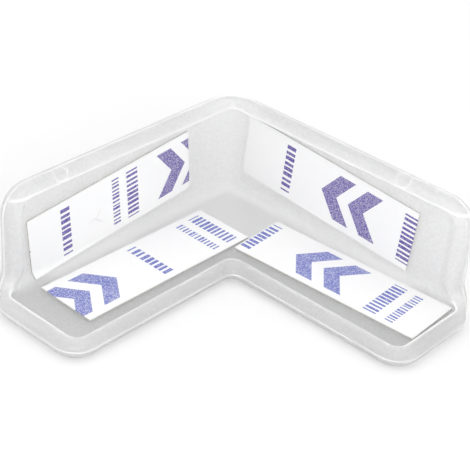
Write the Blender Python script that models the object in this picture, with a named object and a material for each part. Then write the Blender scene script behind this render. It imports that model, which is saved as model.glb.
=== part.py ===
"""Soft clear furniture corner protector with four stuck-on adhesive strips.

The body is one moulded piece: a tray with a raised, fully rounded rim, folded once along
its length into a wall and a flange, and turned once around the furniture's corner. Four
lengths of double-sided tape, each still under its release liner, lie in the tray.

The part lies on its flange, as on a table. One arm runs along +X and the other along +Y.
Lengths are in metres. The tray is described on three flat coordinates before it is bent:
    along   distance from the arm's end towards the corner
    run     distance up the wall, or down from the fold and out over the flange
    depth   distance from the outer skin towards the furniture
"""
import math

import bmesh
import bpy

# Moulded body
ARM_LENGTH = 0.0588
WALL_HEIGHT = 0.0214
FLANGE_WIDTH = 0.0226
RIM_THICKNESS = 0.0034
POCKET_DEPTH = 0.0012

# Radii of the bends
RIM_FOLD_RADIUS = 0.0011
OUTER_CORNER_RADIUS = 0.0088
INNER_CORNER_RADIUS = 0.0013
FREE_CORNER_RADIUS = 0.0023

# The walls' ends stand back from the flange's ends, in a soft S that starts on the flange
WALL_END_SETBACK = 0.0036
SETBACK_BELOW_FOLD = 0.0012
SETBACK_ABOVE_FOLD = 0.0018

# Rounded outline of the rim, and the flat strip of rim left beside the pocket
WALL_END_RADIUS = 0.0050
FLANGE_END_RADIUS = 0.0044
TOP_RIM_FLAT = 0.0003
FREE_RIM_FLAT = 0.0001
FLANGE_END_RIM_FLAT = 0.0004
WALL_END_RIM_FLAT = 0.0001
POCKET_TOP_RADIUS = 0.0010
POCKET_FREE_RADIUS = 0.0022
POCKET_LIP_RADIUS = 0.0002
POCKET_FOOT_RADIUS = 0.0002
# At the wall's end the pocket rises to the rim in a soft ramp instead of a steep side
WALL_END_RAMP = 0.0018

# Double-sided tape and its liner
TAPE_WIDTH = 0.0120
ADHESIVE_THICKNESS = 0.00016
LINER_THICKNESS = 0.00012
STICK_CLEARANCE = 0.00008
STRIP_CLEARANCE = 0.0001

# Each strip is cut to run from its start, measured from the far arm's pocket face, to a
# margin short of the pocket's end. Its outer end tilts towards the fold by hand
WALL_X_START = 0.0107
WALL_X_END_MARGIN = 0.0006
WALL_X_TOP_MARGIN = 0.0012
WALL_X_TILT = 5.5
WALL_Y_START = 0.0041
WALL_Y_END_MARGIN = 0.0063
WALL_Y_TOP_MARGIN = 0.0001
WALL_Y_TILT = 4.6
FLANGE_X_START = 0.0110
FLANGE_X_END_MARGIN = 0.0057
FLANGE_X_WALL_MARGIN = 0.0036
FLANGE_X_TILT = 0.7
FLANGE_Y_END_MARGIN = 0.0005
FLANGE_Y_WALL_MARGIN = 0.0034
FLANGE_Y_TILT = 2.7

# Fineness of the curved surfaces
BULLNOSE_STEPS = 10
FOLD_STEPS = 8
END_CORNER_STEPS = 6
CORNER_STEPS = 6
LIP_STEPS = 2
SIDE_STEPS = 3
STRIP_BEND_STEPS = 8

# Sizes that follow from the ones above
BASE_THICKNESS = RIM_THICKNESS - POCKET_DEPTH
OUTER_FOLD_RADIUS = RIM_THICKNESS + RIM_FOLD_RADIUS
POCKET_FOLD_RADIUS = OUTER_FOLD_RADIUS - BASE_THICKNESS
FOLD_RUN = POCKET_FOLD_RADIUS * math.pi / 2
WALL_RUN = WALL_HEIGHT - OUTER_FOLD_RADIUS
FLANGE_RUN = FLANGE_WIDTH - OUTER_FOLD_RADIUS + FOLD_RUN
RIM_RADIUS = RIM_THICKNESS / 2
CORNER_TO_CENTRE = ARM_LENGTH / 2
POCKET_SIDE = POCKET_LIP_RADIUS + POCKET_FOOT_RADIUS
POCKET_TOP = WALL_HEIGHT - BASE_THICKNESS - RIM_RADIUS - TOP_RIM_FLAT - POCKET_SIDE
WALL_END_BAND = WALL_END_SETBACK + RIM_RADIUS + WALL_END_RIM_FLAT + WALL_END_RAMP
WALL_POCKET_LENGTH = ARM_LENGTH - BASE_THICKNESS - WALL_END_BAND
FLANGE_POCKET_LENGTH = ARM_LENGTH - BASE_THICKNESS - RIM_RADIUS - FLANGE_END_RIM_FLAT - POCKET_SIDE
# The second flange strip is butted against the long edge of the first
FLANGE_Y_START = FLANGE_X_WALL_MARGIN + TAPE_WIDTH + STRIP_CLEARANCE


def clear_scene():
    for obj in list(bpy.data.objects):
        bpy.data.objects.remove(obj, do_unlink=True)


def plastic(name, colour, roughness, alpha=1.0):
    material = bpy.data.materials.new(name)
    material.use_nodes = True
    shader = material.node_tree.nodes["Principled BSDF"]
    shader.inputs["Base Color"].default_value = (*colour, 1.0)
    shader.inputs["Roughness"].default_value = roughness
    shader.inputs["Metallic"].default_value = 0.0
    shader.inputs["Alpha"].default_value = alpha
    material.diffuse_color = (*colour, alpha)
    return material


def mix(a, b, share):
    return a + (b - a) * share


def corner_radius(offset):
    """Plan radius of the turn at a distance from the outer faces of both arms."""
    if offset < RIM_THICKNESS:
        return mix(OUTER_CORNER_RADIUS, INNER_CORNER_RADIUS, offset / RIM_THICKNESS)
    share = (offset - RIM_THICKNESS) / (FLANGE_WIDTH - RIM_THICKNESS)
    return mix(INNER_CORNER_RADIUS, FREE_CORNER_RADIUS, share)


def fold(run, depth):
    """Offset from the arm's outer face and height, for a place on the folded sheet."""
    if run >= 0.0:
        return depth, OUTER_FOLD_RADIUS + run
    if run <= -FOLD_RUN:
        return OUTER_FOLD_RADIUS - FOLD_RUN - run, depth
    angle = -run / FOLD_RUN * math.pi / 2
    reach = OUTER_FOLD_RADIUS - depth
    return OUTER_FOLD_RADIUS - reach * math.cos(angle), OUTER_FOLD_RADIUS - reach * math.sin(angle)


def setback(run):
    """How far the arm's end stands back at a height on the sheet."""
    start = -FOLD_RUN - SETBACK_BELOW_FOLD
    share = min(max((run - start) / (SETBACK_ABOVE_FOLD - start), 0.0), 1.0)
    return WALL_END_SETBACK * share * share * (3 - 2 * share)


class Layer:
    """One closed line around the tray, at one depth, with its distances from the edge."""

    def __init__(self, depth, top, free, wall_end, flange_end, top_radius, free_radius):
        self.depth = depth
        self.top = top
        self.free = free
        self.wall_end = wall_end
        self.flange_end = flange_end
        self.top_radius = top_radius
        self.free_radius = free_radius

    def point(self, column, row):
        """Place in the object's frame; columns run from the arm's end to the corner."""
        turn = min(column / END_CORNER_STEPS, 1.0) * math.pi / 2
        highest = WALL_RUN - self.top - self.top_radius * (1 - math.sin(turn))
        lowest = -(FLANGE_RUN - self.free - self.free_radius * (1 - math.sin(turn)))
        run = row_run(row, lowest, highest)
        offset, height = fold(run, self.depth)
        on_wall = 1.0 if row >= WALL_FROM_ROW else 0.0
        along = mix(self.flange_end + self.free_radius * (1 - math.cos(turn)),
                    self.wall_end + self.top_radius * (1 - math.cos(turn)), on_wall) + setback(run)
        radius = corner_radius(offset)
        centre = offset + radius
        if column <= END_CORNER_STEPS:
            return ARM_LENGTH - along, offset, height
        if column <= TURN_COLUMN:
            share = (column - END_CORNER_STEPS) / (TURN_COLUMN - END_CORNER_STEPS)
            return mix(ARM_LENGTH - along, centre, share), offset, height
        angle = (column - TURN_COLUMN) / CORNER_STEPS * math.pi / 4
        return centre - radius * math.sin(angle), centre - radius * math.cos(angle), height


# Columns of half the tray: the rounded end, the straight arm, half the turn
STRAIGHT_STEPS = 3
TURN_COLUMN = END_CORNER_STEPS + STRAIGHT_STEPS
LAST_COLUMN = TURN_COLUMN + CORNER_STEPS
# Rows from the flange's free edge, through the fold, to the wall's top
FLAT_STEPS = 3
SETBACK_STEPS = 2
FOLD_FIRST_ROW = FLAT_STEPS + SETBACK_STEPS
FOLD_LAST_ROW = FOLD_FIRST_ROW + FOLD_STEPS
LAST_ROW = FOLD_LAST_ROW + SETBACK_STEPS + FLAT_STEPS
# The wall's wider end band stands on the pocket floor from the third fold row on
WALL_FROM_ROW = FOLD_FIRST_ROW + 3


def row_run(row, lowest, highest):
    stops = (
        (FLAT_STEPS, lowest, -FOLD_RUN - SETBACK_BELOW_FOLD),
        (SETBACK_STEPS, -FOLD_RUN - SETBACK_BELOW_FOLD, -FOLD_RUN),
        (FOLD_STEPS, -FOLD_RUN, 0.0),
        (SETBACK_STEPS, 0.0, SETBACK_ABOVE_FOLD),
        (FLAT_STEPS, SETBACK_ABOVE_FOLD, highest),
    )
    for steps, start, end in stops:
        if row <= steps:
            return mix(start, end, row / steps)
        row -= steps


def ramp_share(depth):
    """Place on the wall's end ramp, half a cosine wave, where it comes to a depth."""
    drop = (RIM_THICKNESS - depth) / POCKET_DEPTH
    return math.acos(min(max(1 - 2 * drop, -1.0), 1.0)) / math.pi


def tray_layers():
    """Closed lines from the outer skin, round the bullnose rim, down into the pocket."""
    wall_radius = max(WALL_END_RADIUS, RIM_RADIUS)
    flange_radius = max(FLANGE_END_RADIUS, RIM_RADIUS)
    layers = []
    for step in range(BULLNOSE_STEPS + 1):
        angle = math.pi * step / BULLNOSE_STEPS
        inset = RIM_RADIUS * (1 - math.sin(angle))
        depth = RIM_RADIUS * (1 - math.cos(angle))
        layers.append(Layer(depth, inset, inset, inset, inset, wall_radius - inset, flange_radius - inset))

    def pocket_line(inset, depth):
        layers.append(Layer(depth,
                            RIM_RADIUS + TOP_RIM_FLAT + inset,
                            RIM_RADIUS + FREE_RIM_FLAT + inset,
                            RIM_RADIUS + WALL_END_RIM_FLAT + WALL_END_RAMP * ramp_share(depth),
                            RIM_RADIUS + FLANGE_END_RIM_FLAT + inset,
                            max(POCKET_TOP_RADIUS - inset, POCKET_LIP_RADIUS),
                            max(POCKET_FREE_RADIUS - inset, POCKET_LIP_RADIUS)))

    for step in range(LIP_STEPS + 1):
        angle = math.pi / 2 * step / LIP_STEPS
        pocket_line(POCKET_LIP_RADIUS * math.sin(angle), RIM_THICKNESS - POCKET_LIP_RADIUS * (1 - math.cos(angle)))
    for step in range(1, SIDE_STEPS):
        side = mix(RIM_THICKNESS - POCKET_LIP_RADIUS, BASE_THICKNESS + POCKET_FOOT_RADIUS, step / SIDE_STEPS)
        pocket_line(POCKET_LIP_RADIUS, side)
    for step in range(LIP_STEPS + 1):
        angle = math.pi / 2 * step / LIP_STEPS
        pocket_line(POCKET_LIP_RADIUS + POCKET_FOOT_RADIUS * (1 - math.cos(angle)),
                    BASE_THICKNESS + POCKET_FOOT_RADIUS * (1 - math.sin(angle)))
    return layers


def centred(point, mirrored=False):
    x, y, z = point
    if mirrored:
        x, y = y, x
    return x - CORNER_TO_CENTRE, y - CORNER_TO_CENTRE, z


def whole_point(layer, column, row):
    """The second arm is the first one's mirror image in the corner's diagonal."""
    if column <= LAST_COLUMN:
        return centred(layer.point(column, row))
    return centred(layer.point(2 * LAST_COLUMN - column, row), mirrored=True)


def edge_places():
    """Column and row of each vertex around the tray's edge, in order."""
    last = 2 * LAST_COLUMN
    places = [(0, row) for row in range(LAST_ROW)]
    places += [(column, LAST_ROW) for column in range(last)]
    places += [(last, row) for row in range(LAST_ROW, 0, -1)]
    places += [(column, 0) for column in range(last, 0, -1)]
    return places


def finish(name, mesh_builder, material, sharp_degrees=40.0):
    mesh = bpy.data.meshes.new(name)
    bmesh.ops.recalc_face_normals(mesh_builder, faces=mesh_builder.faces)
    mesh_builder.to_mesh(mesh)
    mesh_builder.free()
    mesh.shade_smooth()
    mesh.set_sharp_from_angle(angle=math.radians(sharp_degrees))
    mesh.materials.append(material)
    obj = bpy.data.objects.new(name, mesh)
    bpy.context.scene.collection.objects.link(obj)
    return obj


def sheet(builder, layer, ring):
    """Fills a layer's line with a grid of faces that follows the bends."""
    last = 2 * LAST_COLUMN
    known = dict(zip(edge_places(), ring))
    grid = {}
    for column in range(last + 1):
        for row in range(LAST_ROW + 1):
            place = (column, row)
            grid[place] = known.get(place) or builder.verts.new(whole_point(layer, column, row))
    for column in range(last):
        for row in range(LAST_ROW):
            builder.faces.new((grid[column, row], grid[column + 1, row],
                               grid[column + 1, row + 1], grid[column, row + 1]))


def build_body(material):
    """Lofts the closed lines into the rim and closes them with the skin and the pocket."""
    builder = bmesh.new()
    layers = tray_layers()
    rings = [[builder.verts.new(whole_point(layer, column, row)) for column, row in edge_places()]
             for layer in layers]
    for lower, upper in zip(rings, rings[1:]):
        for i in range(len(lower)):
            j = (i + 1) % len(lower)
            builder.faces.new((lower[i], lower[j], upper[j], upper[i]))
    sheet(builder, layers[0], rings[0])
    sheet(builder, layers[-1], rings[-1])
    return finish("protector_body", builder, material)


class Strip:
    """A cut length of tape, placed in one pocket of one arm."""

    def __init__(self, name, on_wall, mirrored, start, end_margin, side_margin, tilt):
        self.name = name
        self.on_wall = on_wall
        self.mirrored = mirrored
        self.start = start
        self.tilt = math.radians(tilt)
        pocket_length = WALL_POCKET_LENGTH if on_wall else FLANGE_POCKET_LENGTH
        reach = pocket_length - end_margin - start - TAPE_WIDTH * math.sin(self.tilt)
        self.length = reach / math.cos(self.tilt)
        self.low_edge = side_margin
        if on_wall:
            self.low_edge = POCKET_TOP - side_margin - TAPE_WIDTH * math.cos(self.tilt)
        nearest = self.low_edge - self.length * math.sin(self.tilt)
        self.bent_width = max(POCKET_FOLD_RADIUS - nearest, 0.0)

    def place(self, length, width, depth):
        """A place on the strip; the part of it that reaches the fold follows the curve."""
        along = self.start + length * math.cos(self.tilt) + width * math.sin(self.tilt)
        rise = self.low_edge - length * math.sin(self.tilt) + width * math.cos(self.tilt)
        rise -= POCKET_FOLD_RADIUS
        offset, height = fold(rise if self.on_wall else -FOLD_RUN - rise, depth)
        return centred((BASE_THICKNESS + along, offset, height), self.mirrored)

    def solid(self, kind, low, high, material):
        """One thin layer of the strip, between two heights above the pocket's face."""
        rows = STRIP_BEND_STEPS if self.bent_width else 1
        widths = [0.0, TAPE_WIDTH]
        if self.bent_width:
            widths[1:1] = [self.bent_width * step / STRIP_BEND_STEPS for step in range(1, STRIP_BEND_STEPS + 1)]
        columns = len(widths) - 1
        builder = bmesh.new()
        bottom, top = [
            [[builder.verts.new(self.place(self.length * step / rows, width, BASE_THICKNESS + above))
              for width in widths] for step in range(rows + 1)]
            for above in (low, high)]
        for grid in (bottom, top):
            for i in range(rows):
                for j in range(columns):
                    builder.faces.new((grid[i][j], grid[i + 1][j], grid[i + 1][j + 1], grid[i][j + 1]))
        edge = [(i, 0) for i in range(rows)] + [(rows, j) for j in range(columns)]
        edge += [(i, columns) for i in range(rows, 0, -1)] + [(0, j) for j in range(columns, 0, -1)]
        for (a, b), (c, d) in zip(edge, edge[1:] + edge[:1]):
            builder.faces.new((bottom[a][b], bottom[c][d], top[c][d], top[a][b]))
        return finish(kind + "_" + self.name, builder, material)

    def build(self, adhesive, liner):
        top_of_adhesive = STICK_CLEARANCE + ADHESIVE_THICKNESS
        bottom_of_liner = top_of_adhesive + STICK_CLEARANCE
        self.solid("adhesive", STICK_CLEARANCE, top_of_adhesive, adhesive)
        self.solid("liner", bottom_of_liner, bottom_of_liner + LINER_THICKNESS, liner)


def main():
    clear_scene()
    clear_soft = plastic("clear_soft_plastic", (0.86, 0.87, 0.87), 0.35, alpha=0.55)
    adhesive = plastic("adhesive", (0.78, 0.79, 0.76), 0.45)
    liner = plastic("release_liner", (0.90, 0.90, 0.92), 0.55)
    build_body(clear_soft)
    for strip in (
        Strip("wall_x", True, False, WALL_X_START, WALL_X_END_MARGIN, WALL_X_TOP_MARGIN, WALL_X_TILT),
        Strip("wall_y", True, True, WALL_Y_START, WALL_Y_END_MARGIN, WALL_Y_TOP_MARGIN, WALL_Y_TILT),
        Strip("flange_x", False, False, FLANGE_X_START, FLANGE_X_END_MARGIN, FLANGE_X_WALL_MARGIN, FLANGE_X_TILT),
        Strip("flange_y", False, True, FLANGE_Y_START, FLANGE_Y_END_MARGIN, FLANGE_Y_WALL_MARGIN, FLANGE_Y_TILT),
    ):
        strip.build(adhesive, liner)


main()
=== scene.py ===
import math

import bpy
import numpy as np
from bpy.props import FloatProperty, FloatVectorProperty, PointerProperty
from mathutils import Matrix, Vector


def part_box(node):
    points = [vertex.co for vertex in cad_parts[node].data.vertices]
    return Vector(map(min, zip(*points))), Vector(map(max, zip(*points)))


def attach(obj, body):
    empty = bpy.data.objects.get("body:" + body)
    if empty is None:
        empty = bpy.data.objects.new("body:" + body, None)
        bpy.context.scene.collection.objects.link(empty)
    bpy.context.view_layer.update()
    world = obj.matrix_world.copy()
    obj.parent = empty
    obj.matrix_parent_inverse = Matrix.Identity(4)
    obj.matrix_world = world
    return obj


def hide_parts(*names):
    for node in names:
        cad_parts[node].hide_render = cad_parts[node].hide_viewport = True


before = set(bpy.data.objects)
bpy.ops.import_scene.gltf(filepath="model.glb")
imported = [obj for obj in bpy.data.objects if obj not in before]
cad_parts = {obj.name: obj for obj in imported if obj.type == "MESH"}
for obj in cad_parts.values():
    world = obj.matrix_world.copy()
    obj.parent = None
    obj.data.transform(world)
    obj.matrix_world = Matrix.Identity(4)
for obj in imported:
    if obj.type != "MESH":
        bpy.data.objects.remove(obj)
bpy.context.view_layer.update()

bl_info = {
    "name": "Clear Corner Guard",
    "version": (1, 0, 0),
    "blender": (4, 5, 0),
    "location": "3D View > Sidebar > Corner Guard",
    "description": "Dresses a soft clear furniture corner guard and its four adhesive strips",
    "category": "Object",
}

# Numbers of steps on the grids
END_COLUMNS = 16
ARM_COLUMNS = 96
TURN_COLUMNS = 20
LAST_COLUMN = END_COLUMNS + ARM_COLUMNS + TURN_COLUMNS
FLANGE_ROWS = 14
SETBACK_ROWS = 6
FOLD_ROWS = 32
WALL_ROWS = 14
FOLD_FIRST_ROW = FLANGE_ROWS + SETBACK_ROWS
FOLD_LAST_ROW = FOLD_FIRST_ROW + FOLD_ROWS
LAST_ROW = FOLD_LAST_ROW + SETBACK_ROWS + WALL_ROWS
BULLNOSE_STEPS = 40
LIP_STEPS = 5
SIDE_STEPS = 6
# Shares of the fold between which the outline goes over from the flange's end to the wall's
END_CHANGE = (0.25, 0.375)
STRIP_COLUMNS = 150
STRIP_ROWS = 44

MM = 0.001

# Rings that the mould's pins left on the rims, drawn as painted highlights, pale and glowing: place, radius
# and strength
PIN_MARKS = (
    ((0.0146, -0.02645, 0.02095), 1.4 * MM, 1.0),
    ((-0.02645, 0.0120, 0.02095), 1.4 * MM, 1.0),
)
PIN_WIDTH = 0.24 * MM

# A painted highlight line, pale and glowing, that runs on from the pocket's upper edge to the wall's end
LIP_HEIGHT = 19.4 * MM
LIP_LINE_WIDTH = 0.28 * MM
LIP_LINE_START = 19.5 * MM
INNER_HALF = -27.6 * MM

# A small bent crease in the liner on the X arm's wall, and a nick at its corner, both bumped and darkened
# with painted shade
CREASES = (
    ((0.0081, -0.02676, 0.0083), (0.0068, -0.02676, 0.0088)),
    ((0.0068, -0.02676, 0.0088), (0.0050, -0.02676, 0.0075)),
    ((0.0063, -0.02676, 0.0086), (0.0055, -0.02676, 0.0101)),
    ((0.0221, -0.02676, 0.0145), (0.0215, -0.02676, 0.0138)),
)
CREASE_WIDTH = 0.11 * MM

# Where the plastic's painted shade, painted glow and painted lip highlight fade: heights at the foot of the
# walls, distances from the outer face and from the corner, heights at the flange's lip, and depths below the
# top at the walls' lip
FOOT_FADE = (3.2 * MM, 2.3 * MM)
WIDTH_FADE = (12 * MM, 16 * MM)
LENGTH_FADE = (45 * MM, 49 * MM)
LOW_LIP_FADE = (3.9 * MM, 3.5 * MM)
HIGH_LIP_FADE = (2.7 * MM, 2.2 * MM)

# The wall strips stop at a shorter ramp than the softened one, as the construction cuts them
CUT_RAMP = 1.8 * MM
# The liner's underside over the pocket floor: an adhesive of 0.16 mm with 0.08 mm below and above it
LINER_RISE = 0.32 * MM
STRIP_GAP = 0.1 * MM
FLANGE_X_MARGIN = 3.6 * MM

# The print, in millimetres: two chevrons, and rows of strokes with start, end, pitch, least share
# of the pitch and seed
TAPE_MIDDLE = 6.0
CHEVRONS = ((3.0, 6.4), (9.0, 12.4))
CHEVRON_SLANT = 0.75
CHEVRON_REACH = 4.6
STROKE_ROWS = (
    (20.6, 23.2, 0.95, 0.35, 3.0),
    (25.0, 26.6, 0.75, 0.30, 5.0),
    (36.2, 38.2, 1.10, 0.35, 9.0),
)
STROKE_ENDS = (1.2, 10.8)
INK_CHANGE = (3.0 * MM, 4.5 * MM)

# The stage: the floor, the lamps' places, sizes and powers, and the camera in degrees, metres and
# pixels of a square picture
FLOOR_HALF = 3.0
FLOOR_LEVEL = -0.05 * MM
FLOOR_TONE = (0.81, 0.81, 0.81)
LAMPS = (
    ("lamp_overhead", (-0.1, -0.1, 0.7), 0.5, 0.6),
    ("lamp_left", (0.6, -0.15, 0.45), 0.4, 0.5),
    ("lamp_front", (0.35, 0.5, 0.35), 0.4, 3.2),
)
CAMERA_TURN = (130.475, 32.67, 4.308)
CAMERA_DISTANCE = 0.25995
CAMERA_MOVE = (-0.000494, 0.009804)
CAMERA_AIM = (-0.0294 + 0.0028, -0.0294 + 0.0028, 0.0028)
CAMERA_FOCAL = 1384.6
CAMERA_SHIFT = (5.73, 0.5)
PICTURE_SIZE = 470.0

BLACK = (0.0, 0.0, 0.0)
WHITE = (1.0, 1.0, 1.0)


class BodySizes(bpy.types.PropertyGroup):
    """Sizes of the moulded body."""

    arm_length: FloatProperty(
        name="Arm length", description="From the outer corner to an arm's end",
        default=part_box("protector_body")[1].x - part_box("protector_body")[0].x, unit="LENGTH")
    wall_height: FloatProperty(
        name="Wall height", description="From the flange's underside to the wall's top",
        default=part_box("protector_body")[1].z, unit="LENGTH")
    flange_width: FloatProperty(
        name="Flange width", description="From the outer face to the flange's free edge",
        default=0.0226, unit="LENGTH")
    rim_thickness: FloatProperty(
        name="Rim thickness", description="Thickness of the rounded rim", default=0.0034, unit="LENGTH")
    pocket_depth: FloatProperty(
        name="Pocket depth", description="How far the pocket lies below the rim",
        default=0.0012, unit="LENGTH")
    rim_fold: FloatProperty(
        name="Rim fold", description="Radius of the inner fold at the rim's level",
        default=0.0011, unit="LENGTH")
    outer_corner: FloatProperty(
        name="Outer corner", description="Plan radius at the outer skin", default=0.0088, unit="LENGTH")
    inner_corner: FloatProperty(
        name="Inner corner", description="Plan radius at the rim's inner level",
        default=0.0013, unit="LENGTH")
    free_corner: FloatProperty(
        name="Free corner", description="Plan radius at the flange's free edge",
        default=0.0023, unit="LENGTH")
    wall_end_radius: FloatProperty(
        name="Wall end radius", description="Outline radius of the wall's top corner",
        default=0.0050, unit="LENGTH")
    flange_end_radius: FloatProperty(
        name="Flange end radius", description="Outline radius of the flange's free corner",
        default=0.0044, unit="LENGTH")
    top_flat: FloatProperty(
        name="Top flat", description="Flat strip of rim along the wall's top", default=0.0003, unit="LENGTH")
    free_flat: FloatProperty(
        name="Free flat", description="Flat strip of rim along the free edge", default=0.0001, unit="LENGTH")
    flange_end_flat: FloatProperty(
        name="Flange end flat", description="Flat strip of rim at the flange's end",
        default=0.0004, unit="LENGTH")
    wall_end_flat: FloatProperty(
        name="Wall end flat", description="Flat strip of rim at the wall's end",
        default=0.0001, unit="LENGTH")
    pocket_top_radius: FloatProperty(
        name="Pocket top radius", description="Outline radius of the pocket's top corner",
        default=0.0034, unit="LENGTH")
    pocket_free_radius: FloatProperty(
        name="Pocket free radius", description="Outline radius of the pocket's free corner",
        default=0.0022, unit="LENGTH")
    lip_radius: FloatProperty(
        name="Lip radius", description="Rounding of the pocket's upper edge", default=0.0002, unit="LENGTH")
    foot_radius: FloatProperty(
        name="Foot radius", description="Rounding at the pocket's foot", default=0.0002, unit="LENGTH")
    wall_end_ramp: FloatProperty(
        name="Wall end ramp", description="Length of the ramp from the wall's pocket to its end",
        default=0.0028, unit="LENGTH")
    end_setback: FloatProperty(
        name="End setback", description="How far the wall's end stands back from the flange's",
        default=0.0036, unit="LENGTH")
    setback_below: FloatProperty(
        name="Setback below fold", description="Where the setback starts on the flange",
        default=0.0012, unit="LENGTH")
    setback_above: FloatProperty(
        name="Setback above fold", description="Where the setback ends on the wall",
        default=0.0018, unit="LENGTH")
    parting_height: FloatProperty(
        name="Parting line height", description="How far the mould's parting line stands out",
        default=0.00008, unit="LENGTH")
    parting_width: FloatProperty(
        name="Parting line width", description="Half width of the parting line",
        default=0.00014, unit="LENGTH")


class StripSizes(bpy.types.PropertyGroup):
    """Sizes of the tape and its liner."""

    tape_width: FloatProperty(
        name="Tape width", description="Width of the tape stock", default=0.0120, unit="LENGTH")
    liner_thickness: FloatProperty(
        name="Liner thickness", description="Thickness of the release liner", default=0.00012, unit="LENGTH")
    print_pitch: FloatProperty(
        name="Print pitch", description="Length after which the print repeats",
        default=0.0420, unit="LENGTH")


class Looks(bpy.types.PropertyGroup):
    """Colours and finishes."""

    plastic: FloatVectorProperty(
        name="Plastic", description="Tint of the clear soft plastic", subtype="COLOR", size=3,
        default=(0.962, 0.962, 0.962), min=0.0, max=1.0)
    # Painted shade: how much darker the pocket floor towards the free edge is tinted
    pocket_shade: FloatProperty(
        name="Pocket tone", description="Share of the plastic's tint on the flange's pocket floor",
        default=0.885, min=0.0, max=1.0)
    liner: FloatVectorProperty(
        name="Liner", description="Colour of the coated paper", subtype="COLOR", size=3,
        default=(0.935, 0.935, 0.932), min=0.0, max=1.0)
    floor_ink: FloatVectorProperty(
        name="Floor ink", description="Colour of the print on the flange", subtype="COLOR", size=3,
        default=(0.105, 0.135, 0.50), min=0.0, max=1.0)
    wall_ink: FloatVectorProperty(
        name="Wall ink", description="Colour of the print on the walls", subtype="COLOR", size=3,
        default=(0.088, 0.046, 0.325), min=0.0, max=1.0)
    adhesive: FloatVectorProperty(
        name="Adhesive", description="Colour of the adhesive layer", subtype="COLOR", size=3,
        default=(0.66, 0.66, 0.62), min=0.0, max=1.0)
    lamp_level: FloatProperty(
        name="Lamp level", description="Share of the studio lamps' strength", default=0.35, min=0.0)
    surround_level: FloatProperty(
        name="Surround level", description="Strength of the even light from all round", default=1.0, min=0.0)
    floor_lift: FloatProperty(
        name="Floor lift", description="Light added to the floor for the camera, to keep it white",
        default=0.10, min=0.0)
    # Strength of the painted glow: the highlights on the lines and rings, light on the pocket floor beside
    # the walls and in the inner corner, and pale specks
    line_glow: FloatProperty(
        name="Line glow", description="Light that gathers in the parting line, the lip and the inner corner",
        default=0.42, min=0.0)


# The tray's surface


def mix(a, b, share):
    """The first value plus a share of the way to the second."""
    return a + (b - a) * share


def corner_radius(g, offset):
    """Plan radius of the turn, in two straight laws of the distance from the outer faces."""
    near = mix(g.outer_corner, g.inner_corner, offset / g.rim_thickness)
    beyond = (offset - g.rim_thickness) / (g.flange_width - g.rim_thickness)
    far = mix(g.inner_corner, g.free_corner, beyond)
    return np.where(offset < g.rim_thickness, near, far)


def fold_radius(g):
    """Radius of the fold at the outer skin: the rim's thickness and the fold's inner radius."""
    return g.rim_thickness + g.rim_fold


def fold_run(g):
    """Length of the fold, a quarter circle at the pocket's level."""
    return (fold_radius(g) - g.rim_thickness + g.pocket_depth) * math.pi / 2


def fold(g, run, depth):
    """Bends the flat sheet: up the wall, round a quarter circle, out over the flange."""
    angle = np.clip(-run / fold_run(g), 0.0, 1.0) * math.pi / 2
    reach = fold_radius(g) - depth
    offset = fold_radius(g) - reach * np.cos(angle) + np.maximum(-run - fold_run(g), 0.0)
    height = fold_radius(g) - reach * np.sin(angle) + np.maximum(run, 0.0)
    return offset, height


def soft_step(value, start, end):
    """Rises from 0 to 1 between two values, as three times the share squared less twice it cubed."""
    share = np.clip((value - start) / (end - start), 0.0, 1.0)
    return share * share * (3 - 2 * share)


def layer(g, depth, inset, pocket):
    """Distances of one closed line from the sheet's edges, on the rim or on the pocket. At the
    walls' ends the pocket rises on a ramp: a half cosine wave over the pocket's depth."""
    if not pocket:
        wall = max(g.wall_end_radius, g.rim_thickness / 2) - inset
        flange = max(g.flange_end_radius, g.rim_thickness / 2) - inset
        return dict(depth=depth, top=inset, free=inset, wall_end=inset, flange_end=inset,
                    top_radius=wall, end_radius=wall, free_radius=flange)
    nose = g.rim_thickness / 2
    drop = min(max((g.rim_thickness - depth) / g.pocket_depth, 0.0), 1.0)
    ramp = g.wall_end_ramp * math.acos(1 - 2 * drop) / math.pi
    return dict(depth=depth, top=nose + g.top_flat + inset, free=nose + g.free_flat + inset,
                wall_end=nose + g.wall_end_flat + ramp, flange_end=nose + g.flange_end_flat + inset,
                top_radius=g.pocket_top_radius - inset, end_radius=g.pocket_top_radius - ramp,
                free_radius=max(g.pocket_free_radius - inset, g.lip_radius))


def tray_points(g, edge, column, row):
    """Points of one layer: column runs from one arm's end over the corner to the other's, row
    from the flange's free edge over the fold to the wall's top. The second arm is the first
    one's mirror image in the diagonal."""
    mirrored = column > LAST_COLUMN
    column = np.where(mirrored, 2 * LAST_COLUMN - column, column)
    turn = np.clip(column / END_COLUMNS, 0.0, 1.0) * math.pi / 2
    highest = g.wall_height - fold_radius(g) - edge["top"] - edge["top_radius"] * (1 - np.sin(turn))
    flange_run = g.flange_width - fold_radius(g) + fold_run(g)
    lowest = edge["free"] + edge["free_radius"] * (1 - np.sin(turn)) - flange_run
    run = sheet_run(g, row, lowest, highest)
    offset, height = fold(g, run, edge["depth"])
    fold_share = (row - FOLD_FIRST_ROW) / FOLD_ROWS
    bend = 1 - np.cos(turn)
    end = mix(edge["flange_end"] + edge["free_radius"] * bend,
              edge["wall_end"] + edge["end_radius"] * bend, soft_step(fold_share, *END_CHANGE))
    end = end + g.end_setback * soft_step(run, -fold_run(g) - g.setback_below, g.setback_above)
    radius = corner_radius(g, offset)
    centre = offset + radius
    start = g.arm_length - end
    along = mix(start, centre, np.clip((column - END_COLUMNS) / ARM_COLUMNS, 0.0, 1.0))
    angle = np.clip((column - END_COLUMNS - ARM_COLUMNS) / TURN_COLUMNS, 0.0, 1.0) * math.pi / 4
    turning = column > END_COLUMNS + ARM_COLUMNS
    x = np.where(turning, centre - radius * np.sin(angle), along)
    y = np.where(turning, centre - radius * np.cos(angle), offset)
    x, y = np.where(mirrored, y, x), np.where(mirrored, x, y)
    return np.stack([x - g.arm_length / 2, y - g.arm_length / 2, height], axis=-1)


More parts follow.
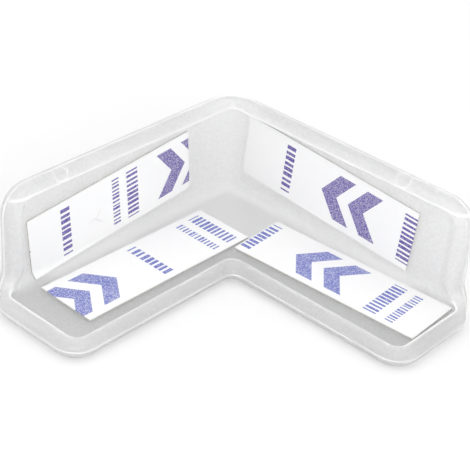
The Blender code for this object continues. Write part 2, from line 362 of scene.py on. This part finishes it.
def sheet_run(g, row, lowest, highest):
    """Height on the sheet, with stretches of rows between the places where the shape changes."""
    low, high = -fold_run(g) - g.setback_below, g.setback_above
    run = mix(lowest, low, row / FLANGE_ROWS)
    for first, last, start, end in ((FLANGE_ROWS, FOLD_FIRST_ROW, low, -fold_run(g)),
                                    (FOLD_FIRST_ROW, FOLD_LAST_ROW, -fold_run(g), 0.0),
                                    (FOLD_LAST_ROW, FOLD_LAST_ROW + SETBACK_ROWS, 0.0, high),
                                    (FOLD_LAST_ROW + SETBACK_ROWS, LAST_ROW, high, highest)):
        run = np.where(row > first, mix(start, end, (row - first) / (last - first)), run)
    return run


def grid_quads(index):
    """Faces of a grid of point numbers."""
    corners = [index[:-1, :-1], index[1:, :-1], index[1:, 1:], index[:-1, 1:]]
    return np.stack(corners, axis=-1).reshape(-1, 4)


def edge_places():
    """Column and row of each point around the tray's edge, in order."""
    last = 2 * LAST_COLUMN
    columns = np.concatenate([np.zeros(LAST_ROW), np.arange(last), np.full(LAST_ROW, last),
                              np.arange(last, 0, -1)])
    rows = np.concatenate([np.arange(LAST_ROW), np.full(last, LAST_ROW), np.arange(LAST_ROW, 0, -1),
                           np.zeros(last)])
    return columns, rows


def bullnose_angles():
    """Angles of the rim's half circle, closer together round the parting line."""
    even = np.linspace(-1.0, 1.0, BULLNOSE_STEPS + 1)
    return (even * 0.35 + even ** 3 * 0.65) * math.pi / 2 + math.pi / 2


def rim_lines(g):
    """Closed lines of the rim and the pocket's side: depth, inset, whether the pocket's distances
    apply, and how near the line is to the parting line and to the pocket's lip, which sets where the painted
    highlights go."""
    nose = g.rim_thickness / 2
    for angle in bullnose_angles():
        off = (angle - math.pi / 2) * nose / g.parting_width
        near = math.exp(-off * off)
        radius = nose - g.parting_height * (1 - near) * math.sin(angle)
        yield nose - radius * math.cos(angle), nose - radius * math.sin(angle), False, near, 0.0
    base = g.rim_thickness - g.pocket_depth
    for step in range(LIP_STEPS + 1):
        angle = math.pi / 2 * step / LIP_STEPS
        depth = g.rim_thickness - g.lip_radius * (1 - math.cos(angle))
        yield depth, g.lip_radius * math.sin(angle), True, 0.0, 1.0 - step / LIP_STEPS
    for step in range(1, SIDE_STEPS):
        depth = mix(g.rim_thickness - g.lip_radius, base + g.foot_radius, step / SIDE_STEPS)
        yield depth, g.lip_radius, True, 0.0, 0.0
    for step in range(LIP_STEPS + 1):
        angle = math.pi / 2 * step / LIP_STEPS
        depth = base + g.foot_radius * (1 - math.sin(angle))
        yield depth, g.lip_radius + g.foot_radius * (1 - math.cos(angle)), True, 0.0, 0.0


def tray_mesh(g):
    """Points and faces of the whole body: lines lofted from the skin round the rim into the
    pocket, closed by a grid on the skin and a grid on the pocket. The marks give each point's
    nearness to the parting line and to the lip, for the painted highlights, and how deep it lies in the
    flange's pocket, towards the free edge for the painted shade and beside the walls for the painted glow."""
    columns, rows = edge_places()
    lines = list(rim_lines(g))
    loops = [tray_points(g, layer(g, *line[:3]), columns, rows) for line in lines]
    ring = len(columns)
    band = np.arange(len(lines) * ring).reshape(len(lines), ring)
    turned = np.roll(band, -1, axis=1)
    quads = [np.stack([band[:-1], turned[:-1], turned[1:], band[1:]], axis=-1).reshape(-1, 4)]
    marks = [np.repeat([[line[3], line[4], line[2] * (g.rim_thickness - line[0]) / g.pocket_depth]
                        for line in lines], ring, axis=0)]
    count = band.size
    last = 2 * LAST_COLUMN
    column, row = np.meshgrid(np.arange(last + 1), np.arange(LAST_ROW + 1), indexing="ij")
    inner = (column > 0) & (column < last) & (row > 0) & (row < LAST_ROW)
    for line, ring_index, sunk in ((lines[0], band[0], 0.0), (lines[-1], band[-1], 1.0)):
        index = np.zeros(column.shape, dtype=int)
        index[columns.astype(int), rows.astype(int)] = ring_index
        index[inner] = count + np.arange(inner.sum())
        inner_places = column[inner].astype(float), row[inner].astype(float)
        loops.append(tray_points(g, layer(g, *line[:3]), *inner_places))
        marks.append(np.tile([0.0, 0.0, sunk], (inner.sum(), 1)))
        count += int(inner.sum())
        grid = grid_quads(index)
        quads.append(grid[:, ::-1] if sunk else grid)
    points, marks = np.concatenate(loops), np.concatenate(marks)
    front, back, crisp = pocket_shares(g, points)
    # Masks of the painted shade (sunk) and the painted glow (back) on the pocket, and of the painted lip
    # highlight
    marks = np.column_stack([marks[:, 0], marks[:, 1] * crisp, marks[:, 2] * front, marks[:, 2] * back])
    return points, np.concatenate(quads), dict(zip(("parting", "lip", "sunk", "back"), marks.T))


def pocket_shares(g, points):
    """1 on the flange towards its free edge and its end, where the pocket floor gets painted shade, 1 on it
    beside the wall, where it gets a painted glow, and 1 wherever the pocket's edge is crisp, which is all
    but its ramps at the walls' ends, where the lip gets its painted highlight."""
    offset = points[:, :2].min(axis=1) + g.arm_length / 2
    along = points[:, :2].max(axis=1) + g.arm_length / 2
    height = points[:, 2]
    low = soft_step(height, *FOOT_FADE)
    front = np.maximum(soft_step(offset, *WIDTH_FADE), soft_step(along, *LENGTH_FADE))
    below_top = height - g.wall_height
    crisp = np.maximum(soft_step(height, *LOW_LIP_FADE),
                       soft_step(below_top, -HIGH_LIP_FADE[0], -HIGH_LIP_FADE[1]))
    return front * low, (1 - front) * low, crisp


def make_piece(name, points, quads, material):
    """A smooth mesh at the origin that rides on the object's one body."""
    mesh = bpy.data.meshes.new(name)
    mesh.vertices.add(len(points))
    mesh.vertices.foreach_set("co", points.astype(np.float32).ravel())
    mesh.loops.add(quads.size)
    mesh.loops.foreach_set("vertex_index", quads.astype(np.int32).ravel())
    mesh.polygons.add(len(quads))
    mesh.polygons.foreach_set("loop_start", np.arange(0, quads.size, 4, dtype=np.int32))
    mesh.update(calc_edges=True)
    mesh.validate()
    mesh.shade_smooth()
    if signed_volume(points, quads) < 0:
        mesh.flip_normals()
    mesh.materials.append(material)
    piece = bpy.data.objects.new(name, mesh)
    bpy.context.scene.collection.objects.link(piece)
    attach(piece, "root")
    return piece


def signed_volume(points, quads):
    """Sum of the tetrahedra from the origin to each half of each face."""
    a, b, c, d = (points[quads[:, i]] for i in range(4))
    return float(((a * np.cross(b, c)).sum() + (a * np.cross(c, d)).sum()) / 6)


# Shader maths


class Wire:
    """A socket that Python's arithmetic works on; each operation adds one Math node."""

    def __init__(self, paint, socket):
        self.paint = paint
        self.socket = socket

    def math(self, operation, *others, clamp=False):
        settings = {"operation": operation, "use_clamp": clamp}
        return self.paint.add("ShaderNodeMath", settings, dict(enumerate((self, *others))))

    def __add__(self, other):
        return self.math("ADD", other)

    def __sub__(self, other):
        return self.math("SUBTRACT", other)

    def __mul__(self, other):
        return self.math("MULTIPLY", other)

    def __truediv__(self, other):
        return self.math("DIVIDE", other)

    def __rsub__(self, other):
        return self.paint.add("ShaderNodeMath", {"operation": "SUBTRACT"}, {0: other, 1: self})

    def __gt__(self, other):
        return self.math("GREATER_THAN", other)

    def __lt__(self, other):
        return self.math("LESS_THAN", other)

    __radd__ = __add__
    __rmul__ = __mul__

    def abs(self):
        return self.math("ABSOLUTE")

    def floor(self):
        return self.math("FLOOR")

    def fract(self):
        return self.math("FRACT")

    def clamp(self):
        return self.math("ADD", 0.0, clamp=True)

    def larger(self, other):
        return self.math("MAXIMUM", other)

    def within(self, low, high):
        """1 between two values and 0 outside them."""
        return (self > low) * (self < high)


class Paint:
    """One material and its nodes."""

    def __init__(self, name):
        self.material = bpy.data.materials.new(name)
        self.material.use_nodes = True
        self.tree = self.material.node_tree
        self.shader = self.tree.nodes["Principled BSDF"]

    def add(self, kind, settings=None, values=None, output=0):
        """Adds one node: its settings first, then the values or links of its sockets."""
        node = self.tree.nodes.new(kind)
        for key, value in (settings or {}).items():
            setattr(node, key, value)
        for key, value in (values or {}).items():
            self.feed(node.inputs[key], value)
        return Wire(self, node.outputs[output])

    def feed(self, socket, value):
        if isinstance(value, Wire):
            self.tree.links.new(value.socket, socket)
        elif socket.type == "RGBA":
            socket.default_value = (*value, 1.0)
        else:
            socket.default_value = value

    def set(self, **values):
        """Sets or links the Principled shader's sockets, by name with underscores for spaces."""
        for key, value in values.items():
            self.feed(self.shader.inputs[key.replace("_", " ")], value)

    def place(self):
        return self.add("ShaderNodeTexCoord", output="Object")

    def attribute(self, name):
        return self.add("ShaderNodeAttribute", {"attribute_name": name}, output="Fac")

    def length(self, vector):
        return self.add("ShaderNodeVectorMath", {"operation": "LENGTH"}, {0: vector}, output="Value")

    def offset(self, where, centre):
        return self.add("ShaderNodeVectorMath", {"operation": "SUBTRACT"}, {0: where, 1: centre})

    def largest(self, wires):
        first, *others = wires
        for other in others:
            first = first.larger(other)
        return first

    def ring(self, where, centre, radius, width):
        """1 on a thin ring about a point, fading to 0 beside it."""
        away = (self.length(self.offset(where, centre)) - radius).abs()
        return self.map(away, 0.0, width, 1.0, 0.0).clamp()

    def stroke(self, where, start, end, width):
        """1 on a straight scratch between two points, fading to 0 beside it."""
        along = Vector(end) - Vector(start)
        rise = self.offset(where, start)
        share = self.add("ShaderNodeVectorMath", {"operation": "DOT_PRODUCT"}, {
            0: rise, 1: along / along.length_squared}, output="Value").clamp()
        foot = self.add("ShaderNodeVectorMath", {"operation": "SCALE"}, {0: along, "Scale": share})
        return self.map(self.length(self.offset(rise, foot)), 0.0, width, 1.0, 0.0).clamp()

    def lip_highlight_line(self, where):
        """1 along the painted highlight line that carries the pocket's upper edge on to the wall's end."""
        x, y, z = (self.add("ShaderNodeSeparateXYZ", values={0: where}, output=axis) for axis in "XYZ")
        inner = x.math("MINIMUM", y) > INNER_HALF
        return self.map((z - LIP_HEIGHT).abs(), 0.0, LIP_LINE_WIDTH, 1.0, 0.0).clamp() * inner * (
            x.larger(y) > LIP_LINE_START)

    def strip_place(self):
        """Millimetres along and across a strip, from its UV map."""
        flat = self.add("ShaderNodeUVMap", {"uv_map": "strip"})
        split = self.add("ShaderNodeSeparateXYZ", values={0: flat})
        return split, Wire(self, split.socket.node.outputs["Y"])

    def noise(self, where, scale, detail=2.0, roughness=0.5, distortion=0.0):
        return self.add("ShaderNodeTexNoise", values={
            "Vector": where, "Scale": scale, "Detail": detail, "Roughness": roughness,
            "Distortion": distortion})

    def map(self, value, low, high, to_low, to_high):
        return self.add("ShaderNodeMapRange", values={
            "Value": value, "From Min": low, "From Max": high, "To Min": to_low, "To Max": to_high})

    def blend(self, share, first, second):
        """Mixes two colours."""
        node = self.tree.nodes.new("ShaderNodeMix")
        node.data_type = "RGBA"
        colours = [socket for socket in node.inputs if socket.type == "RGBA"]
        self.feed(node.inputs["Factor"], share)
        self.feed(colours[0], first)
        self.feed(colours[1], second)
        return Wire(self, next(socket for socket in node.outputs if socket.type == "RGBA"))

    def bump(self, height, distance, strength=1.0, normal=None):
        values = {"Height": height, "Distance": distance, "Strength": strength}
        if normal is not None:
            values["Normal"] = normal
        return self.add("ShaderNodeBump", values=values)


def clear_plastic(looks):
    """Frosted clear soft plastic: cloudy and mottled, with painted highlights, pale and glowing, on the
    parting line, the lip and the faint rings of the mould's pins, a painted glow on the flange's pocket
    beside the walls and in pale specks, and painted shade darkening the pocket floor towards the free edge,
    where the thin pocket shows the shadowed ground."""
    paint = Paint("clear_soft_plastic_finish")
    where = paint.place()
    clouds = paint.noise(where, 70.0, 4.0, 0.55, 0.4)
    mottle = paint.noise(where, 1900.0, 3.0, 0.7)
    smears = paint.noise(where, 240.0, 5.0, 0.6, 1.2)
    waves = paint.noise(where, 95.0, 1.0, 0.4)
    grain = paint.noise(where, 5200.0, 2.0, 0.6)
    rings = paint.largest(paint.ring(where, centre, radius, PIN_WIDTH) * strength
                          for centre, radius, strength in PIN_MARKS)
    rings = rings * paint.map(paint.noise(where, 500.0), 0.4, 0.6, 0.5, 1.0).clamp()
    # Painted highlight: the parting line, the lip, the line on to the wall's end and the pin rings are
    # whitened in the base colour and made to glow
    lip = paint.attribute("lip").larger(paint.lip_highlight_line(where))
    painted_highlight = (paint.attribute("parting") * 0.9).larger(lip * 0.9).larger(rings)
    painted_highlight = painted_highlight * paint.map(smears, 0.35, 0.6, 0.6, 1.0).clamp()
    specks = paint.map(mottle, 0.48, 0.66, 0.0, 1.0).clamp()
    haze = paint.map(clouds, 0.3, 0.7, -0.4, 0.4) + paint.map(mottle, 0.35, 0.65, -0.7, 0.7)
    # Painted glow: the highlights, light on the pocket floor beside the walls, and pale specks from the
    # mottle
    glow = painted_highlight + paint.attribute("back") * 0.13 + specks * 0.10
    surface = paint.bump(waves, 0.0004, 0.35)
    reliefs = (rings, 0.00006, 0.8), (mottle, 0.00006, 0.5), (grain, 0.000015, 0.7)
    for height, distance, strength in reliefs:
        surface = paint.bump(height, distance, strength, surface)
    tint = Vector(looks.plastic)
    haze = (haze * 0.5 + 0.5).clamp()
    cloudy = paint.blend(haze, tint * 0.945, tint * 1.02)
    # Painted shade: the pocket floor towards the free edge gets a darker tint
    sunk = paint.blend(haze, tint * (looks.pocket_shade - 0.03), tint * looks.pocket_shade)
    body = paint.blend(paint.attribute("sunk"), cloudy, sunk)
    # The painted highlights whiten the base colour and lower the roughness; the painted glow feeds the
    # emission
    paint.set(
        Base_Color=paint.blend(painted_highlight, body, WHITE),
        Roughness=paint.map(smears, 0.3, 0.7, 0.40, 0.50) - painted_highlight * 0.15,
        Transmission_Weight=0.6,
        IOR=1.49,
        Specular_IOR_Level=0.5,
        Emission_Color=paint.blend(glow.clamp(), BLACK, WHITE),
        Emission_Strength=looks.line_glow,
        Normal=surface,
    )
    return paint.material


def printed_liner(looks, pitch):
    """Coated paper with a violet print of chevrons and rows of strokes, in millimetres on the strip.
    The ink is bluer on the flange than on the walls, and speckled by its screen. A crease and a nick at its
    corner are bumped and darkened with painted shade."""
    paint = Paint("release_liner_finish")
    along, across = paint.strip_place()
    place = (along / pitch).fract() * pitch
    middle = (across - TAPE_MIDDLE).abs()
    slant = place - middle * CHEVRON_SLANT
    first, second = (slant.within(*chevron) for chevron in CHEVRONS)
    chevrons = first.larger(second) * (middle < CHEVRON_REACH)
    ink = chevrons
    for near, far, step, share, seed in STROKE_ROWS:
        cell = across / step
        dice = paint.add("ShaderNodeTexWhiteNoise", {"noise_dimensions": "2D"}, {
            "Vector": paint.add("ShaderNodeCombineXYZ", values={0: cell.floor(), 1: seed})})
        stroke = (cell.fract() < dice * 0.4 + share) * place.within(near, far) * across.within(*STROKE_ENDS)
        ink = ink.larger(stroke)
    where = paint.place()
    screen = paint.noise(where, 5200.0, 1.0, 0.7)
    worn = paint.noise(where, 900.0, 3.0)
    solid = paint.map(screen, 0.42, 0.66, 1.0, 0.42).clamp() * paint.map(worn, 0.3, 0.42, 0.85, 1.0).clamp()
    height = paint.add("ShaderNodeSeparateXYZ", values={0: where}, output="Z")
    on_wall = paint.map(height, *INK_CHANGE, 0.0, 1.0).clamp()
    colour = paint.blend(on_wall, looks.floor_ink, looks.wall_ink)
    fibre = paint.noise(where, 2600.0, 4.0, 0.6)
    crease_and_shade = paint.largest(paint.stroke(where, start, end, CREASE_WIDTH) for start, end in CREASES)
    sheet = Vector(looks.liner)
    paper = paint.blend(paint.map(fibre, 0.3, 0.7, 0.0, 1.0).clamp(), sheet * 0.985, sheet)
    # Painted shade along the crease and at the nick
    paper = paint.blend(crease_and_shade * 0.35, paper, sheet * 0.6)
    paint.set(
        Base_Color=paint.blend(ink * (solid + (ink - chevrons) * 0.15).clamp(), paper, colour),
        Roughness=paint.map(fibre, 0.3, 0.7, 0.42, 0.52) - ink * 0.08,
        Specular_IOR_Level=0.4,
        Normal=paint.bump(fibre, 0.00001, 0.5, paint.bump(crease_and_shade, 0.00008, 0.8)),
    )
    return paint.material


def adhesive_layer(looks):
    """Pale tacky layer with the fibres of its tissue."""
    paint = Paint("adhesive_finish")
    where = paint.place()
    fibre = paint.noise(where, 1800.0, 5.0, 0.65, 2.0)
    tone = Vector(looks.adhesive)
    paint.set(
        Base_Color=paint.blend(paint.map(fibre, 0.35, 0.65, 0.0, 1.0).clamp(), tone * 0.9, tone * 1.08),
        Roughness=paint.map(fibre, 0.3, 0.7, 0.32, 0.5),
        Normal=paint.bump(fibre, 0.00002, 0.6),
    )
    return paint.material


# The liners


class Strip:
    """One cut length of liner, in the pocket of one arm's wall or flange."""

    def __init__(self, name, on_wall, mirrored, start, low_edge, length, tilt, phase):
        self.name = name
        self.on_wall = on_wall
        self.mirrored = mirrored
        self.start = start
        self.low_edge = low_edge
        self.length = length
        self.tilt = math.radians(tilt)
        self.phase = phase


def strip_points(g, strip, length, width, depth):
    """Places on a strip: turned by its tilt on the flat sheet, then bent with the fold."""
    along = strip.start + length * math.cos(strip.tilt) + width * math.sin(strip.tilt)
    rise = strip.low_edge - length * math.sin(strip.tilt) + width * math.cos(strip.tilt)
    rise = rise - (fold_radius(g) - g.rim_thickness + g.pocket_depth)
    offset, height = fold(g, rise if strip.on_wall else -fold_run(g) - rise, depth)
    x, y = g.rim_thickness - g.pocket_depth + along, offset
    x, y = (y, x) if strip.mirrored else (x, y)
    return np.stack([x - g.arm_length / 2, y - g.arm_length / 2, height], axis=-1)


def strips_from_cad(g, width):
    """The four strips, as the construction lays them: each has its start from the corner, its
    margins to the pocket's end and long side, its tilt in degrees, and the phase of its print."""
    pocket_radius = fold_radius(g) - g.rim_thickness + g.pocket_depth
    base = g.rim_thickness - g.pocket_depth
    side = g.lip_radius + g.foot_radius
    nose = g.rim_thickness / 2
    top = g.wall_height - base - nose - g.top_flat - side
    wall = g.arm_length - base - nose - g.end_setback - g.wall_end_flat - CUT_RAMP
    flange = g.arm_length - base - nose - g.flange_end_flat - side

    def cut(name, on_wall, mirrored, start, end_margin, margin, tilt, phase):
        turn = math.radians(tilt)
        reach = (wall if on_wall else flange) - end_margin - start - width * math.sin(turn)
        low = top - margin - width * math.cos(turn) if on_wall else margin
        return Strip(name, on_wall, mirrored, start, low, reach / math.cos(turn), tilt, phase)

    return [
        cut("wall_x", True, False, 10.7 * MM, 0.6 * MM, 1.2 * MM, 5.5, 8.0),
        cut("wall_y", True, True, 4.1 * MM, 6.3 * MM, 0.1 * MM, 4.6, 27.0),
        cut("flange_x", False, False, 11.0 * MM, 5.7 * MM, FLANGE_X_MARGIN, 0.7, 19.0),
        cut("flange_y", False, True, FLANGE_X_MARGIN + width + STRIP_GAP, 0.5 * MM, 3.4 * MM, 2.7, 36.0),
    ]


def liner_mesh(g, strip, width, low, high):
    """A thin closed slab: two grids of points joined round their edge, with a UV map in millimetres."""
    length, across = np.meshgrid(np.linspace(0.0, strip.length, STRIP_COLUMNS + 1),
                                 np.linspace(0.0, width, STRIP_ROWS + 1), indexing="ij")
    base = g.rim_thickness - g.pocket_depth
    layers = [strip_points(g, strip, length, across, base + above) for above in (low, high)]
    points = np.concatenate([part.reshape(-1, 3) for part in layers])
    flat = np.stack([length / MM + strip.phase, across / MM], axis=-1).reshape(-1, 2)
    flat = np.concatenate([flat, flat])
    index = np.arange(length.size).reshape(length.shape)
    grid = grid_quads(index)
    edge = np.concatenate([index[:-1, 0], index[-1, :-1], index[:0:-1, -1], index[0, :0:-1]])
    after = np.roll(edge, -1)
    wall = np.stack([edge, after, after + length.size, edge + length.size], axis=-1)
    quads = np.concatenate([grid[:, ::-1], grid + length.size, wall])
    return points, quads, flat


# Operators


class GUARD_OT_mould_body(bpy.types.Operator):
    """Models the clear moulded body in place of its plain solid"""

    bl_idname = "guard.mould_body"
    bl_label = "Mould Body"

    def execute(self, context):
        scene = context.scene
        points, quads, marks = tray_mesh(scene.guard_body)
        plastic = clear_plastic(scene.guard_looks)
        body = make_piece("moulded_body", points, quads, plastic)
        for name, values in marks.items():
            mark = body.data.attributes.new(name, "FLOAT", "POINT")
            mark.data.foreach_set("value", values.astype(np.float32))
        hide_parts("protector_body")
        return {"FINISHED"}


class GUARD_OT_lay_liners(bpy.types.Operator):
    """Lays the four printed release liners on their adhesive"""

    bl_idname = "guard.lay_liners"
    bl_label = "Lay Liners"

    def execute(self, context):
        scene = context.scene
        g, sizes = scene.guard_body, scene.guard_strips
        material = printed_liner(scene.guard_looks, sizes.print_pitch / MM)
        top = LINER_RISE + sizes.liner_thickness
        for strip in strips_from_cad(g, sizes.tape_width):
            points, quads, flat = liner_mesh(g, strip, sizes.tape_width, LINER_RISE, top)
            piece = make_piece("printed_liner_" + strip.name, points, quads, material)
            layer_map = piece.data.uv_layers.new(name="strip")
            corners = np.empty(len(piece.data.loops), dtype=np.int32)
            piece.data.loops.foreach_get("vertex_index", corners)
            layer_map.data.foreach_set("uv", flat[corners].astype(np.float32).ravel())
            piece.data.set_sharp_from_angle(angle=math.radians(50.0))
            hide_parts("liner_" + strip.name)
        return {"FINISHED"}


class GUARD_OT_dress_adhesive(bpy.types.Operator):
    """Gives the adhesive layers their finish"""

    bl_idname = "guard.dress_adhesive"
    bl_label = "Dress Adhesive"

    def execute(self, context):
        material = adhesive_layer(context.scene.guard_looks)
        for name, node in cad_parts.items():
            if name.startswith("adhesive_"):
                for place in node.material_slots:
                    place.link = "OBJECT"
                    place.material = material
        return {"FINISHED"}


# The stage


def white_floor(looks):
    """A white floor that keeps the shadow: a diffuse surface with a little of its own light
    for rays from the camera, also those that come by way of gloss or clear plastic."""
    paint = Paint("studio_floor")
    seen = paint.add("ShaderNodeLightPath", output="Is Camera Ray")
    for kind in ("Is Glossy Ray", "Is Transmission Ray"):
        seen = seen.larger(paint.add("ShaderNodeLightPath", output=kind))
    paint.set(Base_Color=FLOOR_TONE, Roughness=0.8, Specular_IOR_Level=0.0,
              Emission_Color=paint.blend(seen, BLACK, WHITE),
              Emission_Strength=looks.floor_lift)
    return paint.material


def white_surround(level):
    """An even pale world, which the camera sees as plain white."""
    world = bpy.data.worlds.new("studio_surround")
    world.use_nodes = True
    tree = world.node_tree
    tree.nodes.clear()
    path = tree.nodes.new("ShaderNodeLightPath")
    even = tree.nodes.new("ShaderNodeBackground")
    even.inputs["Color"].default_value = (*WHITE, 1.0)
    even.inputs["Strength"].default_value = level
    plain = tree.nodes.new("ShaderNodeBackground")
    plain.inputs["Color"].default_value = (*WHITE, 1.0)
    choose = tree.nodes.new("ShaderNodeMixShader")
    output = tree.nodes.new("ShaderNodeOutputWorld")
    tree.links.new(path.outputs["Is Camera Ray"], choose.inputs[0])
    tree.links.new(even.outputs[0], choose.inputs[1])
    tree.links.new(plain.outputs[0], choose.inputs[2])
    tree.links.new(choose.outputs[0], output.inputs[0])
    bpy.context.scene.world = world


def add_lamp(name, place, size, power):
    """A round lamp that points at the origin."""
    lamp = bpy.data.lights.new(name, "AREA")
    lamp.shape = "DISK"
    lamp.size = size
    lamp.energy = power
    obj = bpy.data.objects.new(name, lamp)
    bpy.context.scene.collection.objects.link(obj)
    obj.location = place
    obj.rotation_mode = "QUATERNION"
    obj.rotation_quaternion = (-Vector(place)).to_track_quat("-Z", "Y")


def set_camera():
    """Camera from its azimuth, elevation, roll, distance and offsets about the pocket's corner."""
    azimuth, elevation, roll = (math.radians(turn) for turn in CAMERA_TURN)
    level = math.cos(elevation)
    back = Vector((math.sin(azimuth) * level, -math.cos(azimuth) * level, math.sin(elevation)))
    right = Vector((-back.y, back.x, 0.0)).normalized()
    up = back.cross(right)
    right, up = (math.cos(roll) * right + math.sin(roll) * up, math.cos(roll) * up - math.sin(roll) * right)
    move_x, move_y = CAMERA_MOVE
    place = Vector(CAMERA_AIM) - move_x * right - move_y * up + CAMERA_DISTANCE * back
    data = bpy.data.cameras.new("camera")
    data.sensor_width = 36.0
    data.lens = CAMERA_FOCAL / PICTURE_SIZE * data.sensor_width
    data.shift_x, data.shift_y = (shift / PICTURE_SIZE for shift in CAMERA_SHIFT)
    data.clip_start, data.clip_end = 0.01, 10.0
    camera = bpy.data.objects.new("camera", data)
    bpy.context.scene.collection.objects.link(camera)
    turn = Matrix((right, up, back)).transposed().to_4x4()
    camera.matrix_world = Matrix.Translation(place) @ turn
    bpy.context.scene.camera = camera


class GUARD_OT_set_stage(bpy.types.Operator):
    """Adds the white floor, the soft studio light and the camera"""

    bl_idname = "guard.set_stage"
    bl_label = "Set Stage"

    def execute(self, context):
        looks = context.scene.guard_looks
        mesh = bpy.data.meshes.new("floor")
        signs = (-1, -1), (1, -1), (1, 1), (-1, 1)
        corners = [(x * FLOOR_HALF, y * FLOOR_HALF, FLOOR_LEVEL) for x, y in signs]
        mesh.from_pydata(corners, [], [(0, 1, 2, 3)])
        mesh.materials.append(white_floor(looks))
        floor = bpy.data.objects.new("floor", mesh)
        context.scene.collection.objects.link(floor)
        white_surround(looks.surround_level)
        for name, place, size, power in LAMPS:
            add_lamp(name, place, size, power * looks.lamp_level)
        set_camera()
        context.scene.view_settings.view_transform = "Standard"
        return {"FINISHED"}


class GUARD_PT_panel(bpy.types.Panel):
    """Lists the steps that dress the corner guard"""

    bl_idname = "GUARD_PT_panel"
    bl_label = "Corner Guard"
    bl_space_type = "VIEW_3D"
    bl_region_type = "UI"
    bl_category = "Corner Guard"

    def draw(self, context):
        for step in STEPS:
            self.layout.operator(step.bl_idname)


STEPS = (GUARD_OT_mould_body, GUARD_OT_lay_liners, GUARD_OT_dress_adhesive, GUARD_OT_set_stage)
CLASSES = (BodySizes, StripSizes, Looks, *STEPS, GUARD_PT_panel)


def register():
    for made in CLASSES:
        bpy.utils.register_class(made)
    bpy.types.Scene.guard_body = PointerProperty(type=BodySizes)
    bpy.types.Scene.guard_strips = PointerProperty(type=StripSizes)
    bpy.types.Scene.guard_looks = PointerProperty(type=Looks)


def unregister():
    del bpy.types.Scene.guard_looks
    del bpy.types.Scene.guard_strips
    del bpy.types.Scene.guard_body
    for made in reversed(CLASSES):
        bpy.utils.unregister_class(made)


def main():
    register()
    bpy.ops.guard.mould_body()
    bpy.ops.guard.lay_liners()
    bpy.ops.guard.dress_adhesive()
    bpy.ops.guard.set_stage()


if __name__ == "__main__":
    main()
